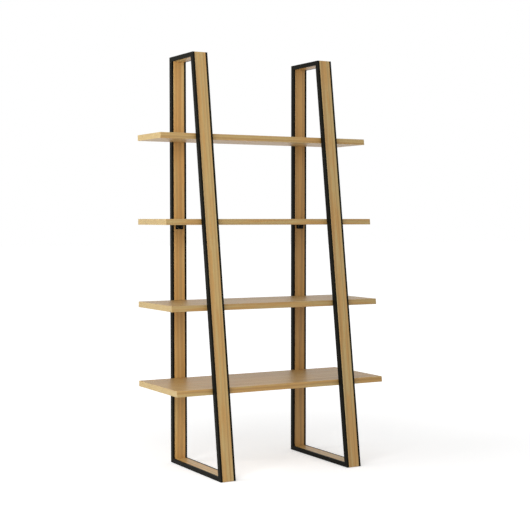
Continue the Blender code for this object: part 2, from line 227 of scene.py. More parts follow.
# A turned piece: each station is a radius, a height along the axis, how hexagonal it is and how much
# thread it has, and is swept round the axis. On a hexagon the radius at an angle is the flat's distance
# over the cosine from the nearest flat's middle. The thread is a ridge whose phase is height over pitch
# less the angle's share of a turn. An arris is where the profile turns sharply.
def turned(name, foot, axis, stations, columns, thread=None):
    radius, height, hexagon, ridge = (np.array(values, float)[:, None] for values in zip(*stations))
    angle = np.linspace(0, 2 * math.pi, columns, endpoint=False)[None]
    fromFlat = (angle + math.pi / 6) % (math.pi / 3) - math.pi / 6
    wide = radius * (1 + hexagon * (1 / np.cos(fromFlat) - 1))
    if thread:
        phase = (height / thread["pitch"] - angle / (2 * math.pi)) % 1
        flanks = 1 - np.minimum(1, np.abs(2 * phase - 1) * thread["sharpness"])
        wide = wide + ridge * thread["depth"] * flanks
    axis = np.asarray(axis, float) / np.linalg.norm(axis)
    across = np.array([1.0, 0, 0])   # no turned piece lies along X
    upright = np.cross(axis, across)
    swept = np.cos(angle)[..., None] * across + np.sin(angle)[..., None] * upright
    grid = np.asarray(foot) + wide[..., None] * swept + height[..., None] * axis
    steep = np.abs(np.gradient(np.arctan2(np.gradient(height[:, 0]), np.gradient(radius[:, 0]))))
    arris = np.broadcast_to(np.clip(steep, 0, 1)[:, None], wide.shape)
    return skin(name, grid, arris)


# Where a turned CAD piece stands: the middle of its spread across the axis, and its span along it
def turnedSeat(node, axis):
    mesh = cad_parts[node].data
    points = np.empty(len(mesh.vertices) * 3, np.float32)
    mesh.vertices.foreach_get("co", points)
    points = points.reshape(-1, 3).astype(float)
    axis = np.asarray(axis, float)
    along = points @ axis
    across = points - along[:, None] * axis
    return (across.min(axis=0) + across.max(axis=0)) / 2, along.min(), along.max()


def seat(piece, node, material):
    piece.data.materials.append(material)
    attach(piece, "root")
    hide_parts(node)


# Node groups

def place(tree, kind, feeds=None, **settings):   # a node with its settings, each input linked or set
    node = tree.nodes.new(kind)
    for key, value in settings.items():
        setattr(node, key, value)
    for key, value in (feeds or {}).items():
        if isinstance(value, bpy.types.NodeSocket):
            tree.links.new(value, node.inputs[key])
        else:
            node.inputs[key].default_value = value
    return node


def maths(tree, operation, a, b=0.0, c=0.0, clamp=False):
    feeds = {0: a, 1: b, 2: c}
    return place(tree, "ShaderNodeMath", feeds, operation=operation, use_clamp=clamp).outputs[0]


def weighted(tree, features, weights, clamp=False):   # the sum of the named features, each times its weight
    total = 0.0
    for name, weight in weights.items():
        total = maths(tree, "MULTIPLY_ADD", features[name], weight, total)
    total.node.use_clamp = clamp
    return total


def ramp(tree, value, low, high):   # 0 below low, 1 above high, smooth between
    feeds = {"Value": value, "From Min": low, "From Max": high}
    return place(tree, "ShaderNodeMapRange", feeds, interpolation_type="SMOOTHSTEP", clamp=True).outputs[0]


def mixed(tree, share, a, b):
    node = place(tree, "ShaderNodeMix", {"Factor": share}, data_type="RGBA")
    for socket, value in ((node.inputs[6], a), (node.inputs[7], b)):
        if isinstance(value, bpy.types.NodeSocket):
            tree.links.new(value, socket)
        else:
            socket.default_value = value
    return node.outputs[2]


def vectorMaths(tree, operation, a, b):
    return place(tree, "ShaderNodeVectorMath", {0: a, 1: b}, operation=operation).outputs[0]


def stretched(tree, vector, grid):   # the vector times a scale for each axis
    return vectorMaths(tree, "MULTIPLY", vector, grid)


def scaled(tree, vector, factor):
    return place(tree, "ShaderNodeVectorMath", {0: vector, 3: factor}, operation="SCALE").outputs[0]


def noise(tree, vector, detail=2.0, roughness=0.5, output="Fac"):
    feeds = {"Vector": vector, "Scale": 1.0, "Detail": detail, "Roughness": roughness}
    return place(tree, "ShaderNodeTexNoise", feeds).outputs[output]


def noiseAlong(tree, distance):   # noise on a single axis
    feeds = {"W": distance, "Scale": 1.0, "Detail": 2.0}
    return place(tree, "ShaderNodeTexNoise", feeds, noise_dimensions="1D").outputs[0]


def newGroup(name, inputs, outputs):   # a shader node group; each socket is (name, kind, default)
    group = bpy.data.node_groups.new(name, "ShaderNodeTree")
    for label, kind, default in inputs:
        socket = group.interface.new_socket(label, in_out="INPUT", socket_type="NodeSocket" + kind)
        if default is not None:
            socket.default_value = default
    for label, kind in outputs:
        group.interface.new_socket(label, in_out="OUTPUT", socket_type="NodeSocket" + kind)
    return group, group.nodes.new("NodeGroupInput").outputs, group.nodes.new("NodeGroupOutput").inputs


# Sawn oak in its log: rings round the Z axis, with Z along the grain, so that faces, arrises and ends
# agree. A grid is a scale per metre for each axis, an edge is where a soft step starts and ends.
oakFigure = {
    "bend": (0.012, (5.0, 5.0, 0.9)),      # slow bends of the rings: reach in metres, grid
    "wobble": (0.0010, (80.0, 80.0, 4.0)),
    "ringDrift": (1.6, 70.0),              # uneven ring widths: in rings, scale per metre of radius
    "earlyRise": (0.0, 0.06),              # where in a ring the early wood sets in and dies away
    "earlyFade": (0.10, 0.62),
    "bandsPerRing": 0.31,                  # slow years and fast years, three or so rings to a band
    "bandEdge": (0.44, 0.64),
    "poreGrid": (2300.0, 2300.0, 75.0),    # vessels 0.2 mm wide and some 10 mm long
    "poreEdge": (0.16, 0.36),
    "poreShare": (0.85, 0.12),             # in the early wood, on top of the share anywhere
    "poreTint": (-0.46, 0.62),             # what an end takes from the tint on a face
    "fibreGrid": (900.0, 900.0, 11.0),
    "fibreNoise": (3.0, 0.6),              # detail and roughness
    "streakGrid": (62.0, 62.0, 4.2),       # broad tone streaks, 15 mm wide and some 240 mm long
    "streakNoise": (3.0, 0.55),
    "streakEdge": (0.40, 0.60),
    "rayGrid": (620.0, 75.0, 190.0),       # round the log, outwards and along
    "rayEdge": (0.62, 0.76),
    "rayRadius": 0.20,                     # makes metres of the angle round the log
    "rayTint": 0.25,
    "endTint": 0.75,
    "staveJump": (0.09, 0.05, 3.0),        # how far apart in the log neighbouring staves may lie
    "darkness": {"early": 0.34, "fibre": 0.22, "band": 0.42, "stave": 0.12},
    "roughness": {"pores": 0.22, "fibre": 0.14, "rays": -0.06},
    "height": {"fibre": 0.25, "pores": -1.0, "early": -0.20},
}


def makeOakFigure():
    group, given, wanted = newGroup(
        "oakFigure",
        [
            ("Vector", "Vector", None),
            ("Ring Width", "Float", 0.0026),
            ("Stave Width", "Float", 4.0),
            ("Tone And Painted Light", "Float", 0.0),
            ("Warmth And Bounce Light", "Float", 0.0),
            ("End Grain", "Float", 0.0),
            ("Pale", "Color", (0.5, 0.3, 0.1, 1)),
            ("Warm", "Color", (0.5, 0.3, 0.1, 1)),
            ("Dark", "Color", (0.3, 0.2, 0.1, 1)),
            ("Pore", "Color", (0.2, 0.1, 0.05, 1)),
            ("End", "Color", (0.5, 0.4, 0.2, 1)),
        ],
        [("Color", "Color"), ("Roughness", "Float"), ("Height", "Float")],
    )
    shape = oakFigure
    # each stave comes from its own place in the log
    across = place(group, "ShaderNodeSeparateXYZ", {0: given["Vector"]}).outputs[1]
    staveNumber = maths(group, "FLOOR", maths(group, "DIVIDE", across, given["Stave Width"]))
    chance = place(group, "ShaderNodeTexWhiteNoise", {"W": staveNumber}, noise_dimensions="1D").outputs
    jump = stretched(group, chance["Color"], shape["staveJump"])
    inLog = vectorMaths(group, "ADD", given["Vector"], jump)
    # rings, bent and wobbling
    for reach, grid in (shape["bend"], shape["wobble"]):
        push = noise(group, stretched(group, inLog, grid), detail=1.0, output="Color")
        centred = vectorMaths(group, "SUBTRACT", push, (0.5, 0.5, 0.5))
        inLog = vectorMaths(group, "ADD", inLog, stretched(group, centred, (2 * reach, 2 * reach, 0)))
    apart = place(group, "ShaderNodeSeparateXYZ", {0: inLog}).outputs
    outwards = [maths(group, "POWER", apart[axis], 2) for axis in (0, 1)]
    radius = maths(group, "SQRT", maths(group, "ADD", *outwards))
    drift, driftScale = shape["ringDrift"]
    uneven = noiseAlong(group, maths(group, "MULTIPLY", radius, driftScale))
    ring = maths(group, "DIVIDE", radius, given["Ring Width"])
    ring = maths(group, "MULTIPLY_ADD", uneven, drift, ring)
    phase = maths(group, "FRACT", ring)
    fading = maths(group, "SUBTRACT", 1.0, ramp(group, phase, *shape["earlyFade"]))
    early = maths(group, "MULTIPLY", ramp(group, phase, *shape["earlyRise"]), fading)
    band = noiseAlong(group, maths(group, "MULTIPLY", ring, shape["bandsPerRing"]))
    # vessels, dense in the early wood and few in the late wood
    poreSpot = stretched(group, inLog, shape["poreGrid"])
    vessels = place(group, "ShaderNodeTexVoronoi", {"Vector": poreSpot, "Scale": 1.0}, feature="F1")
    hollow = maths(group, "SUBTRACT", 1.0, ramp(group, vessels.outputs["Distance"], *shape["poreEdge"]))
    pores = maths(group, "MULTIPLY", hollow, maths(group, "MULTIPLY_ADD", early, *shape["poreShare"]))
    fibre = noise(group, stretched(group, inLog, shape["fibreGrid"]), *shape["fibreNoise"])
    streak = noise(group, stretched(group, inLog, shape["streakGrid"]), *shape["streakNoise"])
    # rays run outwards from the pith: dashes on a flat-sawn face, flecks on a quartered one, lines on ends
    around = maths(group, "MULTIPLY", maths(group, "ARCTAN2", apart[1], apart[0]), shape["rayRadius"])
    raySpot = place(group, "ShaderNodeCombineXYZ", {0: around, 1: radius, 2: apart[2]}).outputs[0]
    rays = noise(group, stretched(group, raySpot, shape["rayGrid"]), detail=1.0)
    rays = ramp(group, rays, *shape["rayEdge"])
    features = {"early": early, "fibre": fibre, "pores": pores, "rays": rays, "stave": chance["Value"]}
    features["band"] = ramp(group, band, *shape["bandEdge"])
    # colour
    # the warmth input adds to the streaks; on the rear posts it paints warm bounce light into their shade
    warmthAndBounceLight = maths(group, "ADD", ramp(group, streak, *shape["streakEdge"]), given["Warmth And Bounce Light"], clamp=True)
    colour = mixed(group, warmthAndBounceLight, given["Pale"], given["Warm"])
    colour = mixed(group, weighted(group, features, shape["darkness"], clamp=True), colour, given["Dark"])
    colour = mixed(group, maths(group, "MULTIPLY", rays, shape["rayTint"]), colour, given["Pale"])
    onEnd = maths(group, "MULTIPLY", given["End Grain"], shape["endTint"])
    colour = mixed(group, onEnd, colour, given["End"])
    poreTint = maths(group, "MULTIPLY_ADD", given["End Grain"], *shape["poreTint"])
    colour = mixed(group, maths(group, "MULTIPLY", pores, poreTint), colour, given["Pore"])
    # the tone scales the whole colour; on some members it paints in light or shade
    group.links.new(scaled(group, colour, maths(group, "ADD", 1.0, given["Tone And Painted Light"])), wanted["Color"])
    group.links.new(weighted(group, features, shape["roughness"]), wanted["Roughness"])
    group.links.new(weighted(group, features, shape["height"]), wanted["Height"])
    return group


# Wear where hands and cloths pass, with a painted highlight along the arris: strong on the arris, broken up
# by noise
edgeWearAndHighlight = {
    "sharpness": 2.0,
    "patchNoise": (3.0, 0.6),
    "patchEdge": (0.35, 0.75),
    "patchShare": (0.8, 0.2),   # in a patch, on top of the share anywhere
}


def makeEdgeWearAndHighlight():
    group, given, wanted = newGroup(
        "edgeWearAndHighlight",
        [
            ("Vector", "Vector", None),
            ("Arris", "Float", 0.0),
            ("Amount", "Float", 0.5),
            ("Scale", "Float", 200.0),
        ],
        [("Mask", "Float")],
    )
    spot = scaled(group, given["Vector"], given["Scale"])
    patch = ramp(group, noise(group, spot, *edgeWearAndHighlight["patchNoise"]), *edgeWearAndHighlight["patchEdge"])
    sharp = maths(group, "POWER", given["Arris"], edgeWearAndHighlight["sharpness"])
    wornAndHighlight = maths(group, "MULTIPLY", sharp, maths(group, "MULTIPLY_ADD", patch, *edgeWearAndHighlight["patchShare"]))
    group.links.new(maths(group, "MULTIPLY", wornAndHighlight, given["Amount"], clamp=True), wanted["Mask"])
    return group


# The skin of a sprayed coat: low round bumps with finer ones on top, and slow changes of sheen
sprayedCoat = {
    "roundness": 0.8,
    "gritGrid": (3.0, 3.0, 3.0),      # finer than the bumps by this much
    "cloudGrid": (14.0, 14.0, 5.0),   # per metre
    "height": {"peel": 1.0, "grit": 0.5},
    "sheen": {"cloud": 0.7, "grit": 0.3},
}


def makeSprayedCoat():
    group, given, wanted = newGroup(
        "sprayedCoat",
        [("Vector", "Vector", None), ("Scale", "Float", 900.0)],
        [("Height", "Float"), ("Sheen", "Float"), ("Cloud", "Float")],
    )
    spot = scaled(group, given["Vector"], given["Scale"])
    feeds = {"Vector": spot, "Scale": 1.0, "Smoothness": sprayedCoat["roundness"]}
    peel = place(group, "ShaderNodeTexVoronoi", feeds, feature="SMOOTH_F1").outputs["Distance"]
    grit = noise(group, stretched(group, spot, sprayedCoat["gritGrid"]))
    cloud = noise(group, stretched(group, given["Vector"], sprayedCoat["cloudGrid"]), detail=3.0)
    features = {"peel": peel, "grit": grit, "cloud": cloud}
    group.links.new(weighted(group, features, sprayedCoat["height"]), wanted["Height"])
    group.links.new(weighted(group, features, sprayedCoat["sheen"]), wanted["Sheen"])
    group.links.new(cloud, wanted["Cloud"])
    return group


groups = {"oak": makeOakFigure(), "wearAndHighlight": makeEdgeWearAndHighlight(), "coat": makeSprayedCoat()}
print("node groups made:", ", ".join(sorted(groups)))


# Finishes. The roughness of each look is smoothest + uneven * its pattern - polish * the mask of wear and
# painted highlight.

def startMaterial(name, colour, roughness, metallic=0.0):
    material = bpy.data.materials.new(name)
    material.use_nodes = True
    material.diffuse_color = colour
    tree = material.node_tree
    shader = tree.nodes["Principled BSDF"]
    shader.inputs["Roughness"].default_value = roughness
    shader.inputs["Metallic"].default_value = metallic
    return material, tree, shader, place(tree, "ShaderNodeTexCoord").outputs["Object"]


def wearAndHighlightMask(tree, spot, amount):
    arris = place(tree, "ShaderNodeAttribute", attribute_name="arris").outputs["Fac"]
    feeds = {"Vector": spot, "Arris": arris, "Amount": amount}
    return place(tree, "ShaderNodeGroup", feeds, node_tree=groups["wearAndHighlight"]).outputs["Mask"]


def coatSkin(tree, spot, scale):
    feeds = {"Vector": spot, "Scale": scale}
    return place(tree, "ShaderNodeGroup", feeds, node_tree=groups["coat"]).outputs


def addRoughness(tree, shader, look, pattern, wornAndHighlight=None):
    rough = maths(tree, "MULTIPLY_ADD", pattern, look["uneven"], look["smoothest"])
    if wornAndHighlight is not None:
        rough = maths(tree, "MULTIPLY_ADD", wornAndHighlight, -look["polish"], rough)
    tree.links.new(rough, shader.inputs["Roughness"])


def addBump(tree, shader, height, distance):
    feeds = {"Height": height, "Distance": distance, "Strength": 1.0}
    tree.links.new(place(tree, "ShaderNodeBump", feeds).outputs[0], shader.inputs["Normal"])


# Satin-lacquered oak
oak = {
    "pale": (0.585, 0.432, 0.176, 1),
    "warm": (0.585, 0.336, 0.102, 1),
    "dark": (0.345, 0.190, 0.058, 1),
    "pore": (0.190, 0.100, 0.040, 1),
    "end": (0.463, 0.342, 0.144, 1),
    # paler on the arrises: partly wear through the lacquer, partly a painted highlight where the eased
    # arris catches the light
    "wornAndHighlight": (0.640, 0.480, 0.240, 1),
    "smoothest": 0.355,
    "uneven": 1.0,
    "polish": 0.10,
    "specular": 0.5,
    "bump": 0.00012,     # metres from the pore's floor to the face
    "wearAndHighlight": 0.15,
}


# grainTurn turns the piece so that its grain runs along Z; logPlace sets the pith, and so how it was sawn;
# tone and warmth shift the colour, partly as painted light and shade
def oakMaterial(name, grainTurn, logPlace, toneAndPaintedLight, warmthAndBounceLight, staveWidth, ringWidth):
    material, tree, shader, spot = startMaterial(name, oak["pale"], oak["smoothest"])
    feeds = {"Vector": spot, "Rotation": grainTurn, "Location": logPlace}
    inLog = place(tree, "ShaderNodeMapping", feeds).outputs[0]
    endGrain = place(tree, "ShaderNodeAttribute", attribute_name="endGrain").outputs["Fac"]
    feeds = {"Vector": inLog, "Ring Width": ringWidth, "Stave Width": staveWidth}
    feeds |= {"Tone And Painted Light": toneAndPaintedLight, "Warmth And Bounce Light": warmthAndBounceLight, "End Grain": endGrain}
    feeds |= {colour.title(): oak[colour] for colour in ("pale", "warm", "dark", "pore", "end")}
    figure = place(tree, "ShaderNodeGroup", feeds, node_tree=groups["oak"]).outputs
    wornAndHighlight = wearAndHighlightMask(tree, spot, oak["wearAndHighlight"])
    # the arris takes the paler worn colour: partly real wear, partly a painted highlight
    tree.links.new(mixed(tree, wornAndHighlight, figure["Color"], oak["wornAndHighlight"]), shader.inputs["Base Color"])
    addRoughness(tree, shader, oak, figure["Roughness"], wornAndHighlight)
    shader.inputs["Specular IOR Level"].default_value = oak["specular"]
    addBump(tree, shader, figure["Height"], oak["bump"])
    return material


# Black powder coat on steel
blackSteel = {
    "colour": (0.0048, 0.0046, 0.0028, 1),
    "cloud": (0.0068, 0.0068, 0.0044, 1),
    "cloudEdge": (0.35, 0.65),
    # lighter at the arrises: partly a worn coat, partly a painted highlight along the edges
    "wornAndHighlight": (0.015, 0.014, 0.010, 1),
    "smoothest": 0.36,
    "uneven": 0.22,
    "polish": 0.12,
    "specular": 0.038,
    "peelScale": 1100.0,
    "peel": 0.00010,
    "wearAndHighlight": 0.40,
}


def coatMaterial(name, look):
    material, tree, shader, spot = startMaterial(name, look["colour"], look["smoothest"])
    coat = coatSkin(tree, spot, look["peelScale"])
    wornAndHighlight = wearAndHighlightMask(tree, spot, look["wearAndHighlight"])
    base = mixed(tree, ramp(tree, coat["Cloud"], *look["cloudEdge"]), look["colour"], look["cloud"])
    # the arris takes the lighter worn colour: partly real wear, partly a painted highlight
    tree.links.new(mixed(tree, wornAndHighlight, base, look["wornAndHighlight"]), shader.inputs["Base Color"])
    addRoughness(tree, shader, look, coat["Sheen"], wornAndHighlight)
    shader.inputs["Specular IOR Level"].default_value = look["specular"]
    addBump(tree, shader, coat["Height"], look["peel"])
    return material


# Boards of the oak bands and the shelves: radii of their arrises and ends, and how far beside each arc
# points lie on the flats
boards = {
    "frame": {
        "cornerRadius": 0.0016,
        "endRadius": 0.0010,
        "leastRadius": 0.0003,
        "arcSteps": 5,
        "besides": (0.0012, 0.0035),
    },
    "shelf": {
        "cornerRadius": 0.0016,
        "endRadius": 0.0012,
        "leastRadius": 0.0004,
        "arcSteps": 6,
        "besides": (0.0015, 0.0045),
    },
}
# the turn that brings a board's grain upright, and the grain's direction
grains = {
    "X": ((0, -math.pi / 2, 0), (1, 0, 0)),
    "Y": ((math.pi / 2, 0, 0), (0, 1, 0)),
    "Z": ((0, 0, 0), (0, 0, 1)),
    "slant": ((slant, 0, 0), (0, math.sin(slant), math.cos(slant))),
}
# each member: where the pith of its log lies, its tone and warmth, and how wide its rings are. Tone and
# warmth are partly each board's own colour and partly painted light: the warmth of the rear posts paints
# warm bounce light into their shade, the raised tones of the left rear post and the left bottom rail paint
# in light, and the lowered tone of the right front post paints the fall-off of the light towards the right
members = {
    "left_rear_post": ((0.62, 0.10, 0.0), 0.34, 0.47, 0.0040),
    "left_front_post": ((0.50, 0.31, 1.3), -0.01, 0.0, 0.0034),
    "left_top_rail": ((0.18, -0.10, 0.4), 0.0, 0.0, 0.0028),
    "left_bottom_rail": ((0.15, 0.14, 2.2), 0.13, -0.05, 0.0028),
    "right_rear_post": ((-0.52, 0.16, 3.1), 0.09, 0.95, 0.0036),
    "right_front_post": ((-0.63, 0.05, 4.7), -0.075, 0.0, 0.0042),
    "right_top_rail": ((-0.17, 0.12, 5.5), 0.01, 0.0, 0.0026),
    "right_bottom_rail": ((-0.20, -0.13, 6.4), 0.05, -0.05, 0.0030),
    "bottom_shelf": ((0.22, 0.10, 7.0), -0.08, 0.12, 0.0030),
    "lower_shelf": ((-0.10, 0.12, 8.3), -0.13, 0.0, 0.0026),
    "upper_shelf": ((0.14, -0.12, 9.9), -0.11, 0.05, 0.0034),
    "top_shelf": ((-0.30, 0.11, 11.2), -0.02, 0.0, 0.0030),
}
staveWidths = {"shelf": 0.094, "frame": 4.0}   # the frame members are each a single piece


def makeBoard(node, corners, grain, kind):
    low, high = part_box(node)
    turn, along = grains[grain]
    piece = bar(node + "_oak", corners, low.x, high.x, "X", boards[kind], endGrainAxis=along)
    logPlace, toneAndPaintedLight, warmthAndBounceLight, ringWidth = members[node]
    material = oakMaterial(node + "_finish", turn, logPlace, toneAndPaintedLight, warmthAndBounceLight, staveWidths[kind], ringWidth)
    seat(piece, node, material)


rearCorners = [(rearFace, footHeight), (backLine, footHeight), (backLine, topHeight), (rearFace, topHeight)]
frontCorners = [(frontLine(footHeight), footHeight), (frontFace(footHeight), footHeight)]
frontCorners += [(frontFace(topHeight), topHeight), (frontLine(topHeight), topHeight)]
for side in sideNames:
    makeBoard(side + "_rear_post", rearCorners, "Z", "frame")
    makeBoard(side + "_front_post", frontCorners, "slant", "frame")
    for rail in ("_bottom_rail", "_top_rail"):
        low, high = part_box(side + rail)
        makeBoard(side + rail, between(low.z, high.z), "Y", "frame")
for node in shelfNames:
    low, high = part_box(node)
    makeBoard(node, between(low.z, high.z), "X", "shelf")
print("oak boards made")


# Welded loops of flat bar
steelLoop = {
    "edgeRadius": 0.0008,
    "edgeSteps": 4,
    "outerCorner": 0.0014,     # radii of the loop's own corners
    "innerCorner": 0.0012,
    "leastRadius": 0.0004,
    "arcSteps": 5,
    "besides": (0.0006, 0.0012, 0.0018, 0.0026, 0.0040, 0.0080),   # close enough for the weld
    "faceSteps": (0.0012, 0.0035),                                 # rows past the rounded edge
    "weldHeight": 0.00012,
    "weldWidth": 0.0016,
}


# The bar's section, carried round the trapezoid: each row of the grid is the outer outline moved in, or
# the inner outline moved out, at its own place across the bar, so the corners come out mitred. The weld is
# a low bell-shaped ridge over the mitre, exp(-(distance / width)^2), on the two side faces.
def makeSteelLoop(node, material):
    low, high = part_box(node)
    shape = steelLoop
    arcSteps, besides = shape["arcSteps"], np.asarray(shape["besides"])
    edge, half = shape["edgeRadius"], (high.x - low.x) / 2
    outer = [(frontLine(footHeight), footHeight), (backLine, footHeight)]
    outer += [(backLine, topHeight), (frontLine(topHeight), topHeight)]
    innerLow, innerHigh = footHeight + sideShape["railHeight"], topHeight - sideShape["railHeight"]
    inner = [(frontFace(innerLow), innerLow), (rearFace, innerLow)]
    inner += [(rearFace, innerHigh), (frontFace(innerHigh), innerHigh)]
    # each row's depth below the outer or inner surface, and its distance from the bar's middle
    turn = np.linspace(0, math.pi / 2, shape["edgeSteps"] + 1)
    rounding = edge * (1 - np.cos(turn))
    faceSteps = np.asarray(shape["faceSteps"])
    depth = np.concatenate([rounding, edge + faceSteps])
    across = np.concatenate([half - edge + edge * np.sin(turn), np.full(len(faceSteps), half)])
    outerRadii = np.maximum(shape["outerCorner"] - depth, shape["leastRadius"])
    innerRadii = shape["innerCorner"] + np.minimum(depth, edge)
    outerRows = roundedOutline(outer, depth, outerRadii, arcSteps, besides)
    innerRows = roundedOutline(inner, -depth, innerRadii, arcSteps, besides)
    fromMitre = np.tile(np.concatenate([besides[::-1], np.zeros(arcSteps + 1), besides]), len(outer))
    weld = shape["weldHeight"] * np.exp(-((fromMitre / shape["weldWidth"]) ** 2))
    onFace = np.clip((depth - edge / 2) / edge, 0, 1)
    out = across[:, None] + onFace[:, None] * weld[None]
    # right-hand half from the outer surface to the inner one, then the left-hand half back
    middle = (low.x + high.x) / 2
    rightX = np.concatenate([out, out[::-1]])
    rows = np.concatenate([outerRows, innerRows[::-1]])
    sideways = np.concatenate([middle + rightX, middle - rightX[::-1]])
    grid = np.concatenate([sideways[..., None], np.concatenate([rows, rows[::-1]])], axis=2)
    near = np.concatenate([np.ones(len(rounding)), 1 - faceSteps / faceSteps[-1]])
    near = np.concatenate([near, near[::-1], near, near[::-1]])
    arris = np.broadcast_to(near[:, None], grid.shape[:2])
    seat(skin(node + "_steel", grid, arris, looped=True), node, material)


loopCoat = coatMaterial("black_steel_finish", blackSteel)
for side in sideNames:
    for part in ("outer", "inner"):
        makeSteelLoop(f"{side}_{part}_steel_loop", loopCoat)
print("steel loops made")


# Cleats under the shelf at mid height: short strips of plate, bent to the angle between post and shelf
cleat = {
    "thickness": 0.003,
    "bend": {"radius": 0.0042, "steps": 8},
    "edges": {
        "cornerRadius": 0.0005,
        "endRadius": 0.0004,
        "leastRadius": 0.0001,
        "arcSteps": 4,
        "besides": (0.00015, 0.0004),
    },
}


def makeCleat(side, end, material):
    node = f"{side}_{end}_cleat"
    low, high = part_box(node)
    if end == "rear":   # from its tip under the shelf to the post, then down
        line = [(low.y, high.z), (high.y, high.z), (high.y, low.z)]
    else:               # up the sloping post, then out under the shelf
        foot, corner = (frontFace(z) + frontFit for z in (low.z, high.z))
        line = [(foot, low.z), (corner, high.z), (high.y, high.z)]
    width = (low.x, high.x)
    piece = bentPlate(node + "_angle", line, width, cleat["thickness"], cleat["bend"], cleat["edges"])
    seat(piece, node, material)


# Socket screws: a domed head with a hexagon socket, a plain neck and a coarse wood thread down to the point
screw = {
    "headRadius": 0.0033,
    "headHeight": 0.0020,
    "rim": 0.0006,
    "domeSteps": 8,
    "flatRadius": 0.0017,
    "shankRadius": 0.0018,
    "coreRadius": 0.00125,
    "tipLength": 0.0036,
    "blunt": 0.08,                  # the tip's radius, as a share of the core's
    "neck": 0.0020,
    "shoulder": (0.0002, 0.0006),   # past the thread, where the core starts and stops widening
    "eased": 0.0001,
    "socketFlat": 0.00125,
    # down the socket to the drill's point: share of the flat's distance, depth, how hexagonal
    "socket": (
        (1.12, 0.0, 0.7),
        (1.0, 0.00012, 1.0),
        (1.0, 0.0011, 1.0),
        (0.93, 0.0012, 1.0),
        (0.35, 0.00135, 0.4),
        (0.1, 0.0014, 0.0),
    ),
    "thread": {"pitch": 0.0013, "depth": 0.00055, "sharpness": 1.6},
    "columns": 36,
    "rowsPerTurn": 10,
}


# The dome is a quarter ellipse from the rim to the flat: radius follows the cosine, height the sine
def makeScrew(node, axis, material):
    middle, tip, top = turnedSeat(node, axis)
    core, shank, head = screw["coreRadius"], screw["shankRadius"], screw["headRadius"]
    pitch, eased = screw["thread"]["pitch"], screw["eased"]
    under = top - screw["headHeight"]
    neckStart = under - screw["neck"]
    heights = np.linspace(tip, neckStart, int(round((neckStart - tip) / pitch * screw["rowsPerTurn"])))
    grown = np.clip((heights - tip) / screw["tipLength"], screw["blunt"], 1)
    ridge = np.minimum(grown, np.clip((neckStart - heights) / pitch, 0, 1))
    stations = [(core * share, height, 0, crest) for share, height, crest in zip(grown, heights, ridge)]
    widens, widened = (neckStart + step for step in screw["shoulder"])
    plain = [(core, widens), (shank, widened), (shank, under - eased), (shank + eased, under)]
    plain += [(head - eased, under), (head, under + eased)]
    turn = np.linspace(0, math.pi / 2, screw["domeSteps"] + 1)
    flat, rimTop = screw["flatRadius"], under + screw["rim"]
    plain += list(zip(flat + (head - flat) * np.cos(turn), rimTop + (top - rimTop) * np.sin(turn)))
    stations += [(radius, height, 0, 0) for radius, height in plain]
    for share, depth, hexagonal in screw["socket"]:
        stations.append((screw["socketFlat"] * share, top - depth, hexagonal, 0))
    piece = turned(node + "_socket", middle, axis, stations, screw["columns"], screw["thread"])
    seat(piece, node, material)


cleatCoat = coatMaterial("cleat_finish", blackSteel | {"wearAndHighlight": 0.8, "peelScale": 1400.0})
screwLook = blackSteel | {
    "colour": (0.012, 0.012, 0.013, 1),
    "smoothest": 0.26,
    "specular": 0.45,
    "peelScale": 4000.0,
    "peel": 0.00001,
}
screwFinish = coatMaterial("black_screw_finish", screwLook)
driven = {   # which way the screws' heads face
    ("rear", "post"): (0, -1, 0),
    ("front", "post"): (0, math.cos(slant), -math.sin(slant)),
    ("rear", "shelf"): (0, 0, -1),
    ("front", "shelf"): (0, 0, -1),
}
for side in sideNames:
    for end in endNames:
        makeCleat(side, end, cleatCoat)
        for leg in ("post", "shelf"):
            for letter in "ab":
                makeScrew(f"{side}_{end}_cleat_{leg}_screw_{letter}", driven[end, leg], screwFinish)
print("cleats and screws made")


# Glides under the bottom rails: a disc with a soft edge, its nail's head sunk in the middle
glide = {
    "radius": 0.011,
    "thickness": 0.0012,
    "edge": 0.0006,
    "edgeSteps": 5,
    "besideEdge": 0.0005,
    "dimpleRadius": 0.0028,
    "lip": (0.0003, 0.00005),   # soft rim of the dimple: width and depth
    "sunk": 0.0004,
    "nailRadius": 0.0015,
    "nailFlat": 0.4,            # shares of the nail's radius: the middle of its head, and its tip
    "blunt": 0.25,
    "point": 0.003,
    "eased": 0.0001,
    "columns": 48,
}
nylon = {
    "colour": (0.030, 0.030, 0.031, 1),
    "scuffed": (0.050, 0.050, 0.051, 1),
    "scuffEdge": (0.45, 0.70),
    "smoothest": 0.35,
    "uneven": 0.3,
    "grainScale": 1600.0,
    "grain": 0.00002,
}


def nylonMaterial(name):
    material, tree, shader, spot = startMaterial(name, nylon["colour"], nylon["smoothest"])
    coat = coatSkin(tree, spot, nylon["grainScale"])
    scuffs = ramp(tree, coat["Sheen"], *nylon["scuffEdge"])
    tree.links.new(mixed(tree, scuffs, nylon["colour"], nylon["scuffed"]), shader.inputs["Base Color"])
    addRoughness(tree, shader, nylon, coat["Sheen"])
    addBump(tree, shader, coat["Height"], nylon["grain"])
    return material


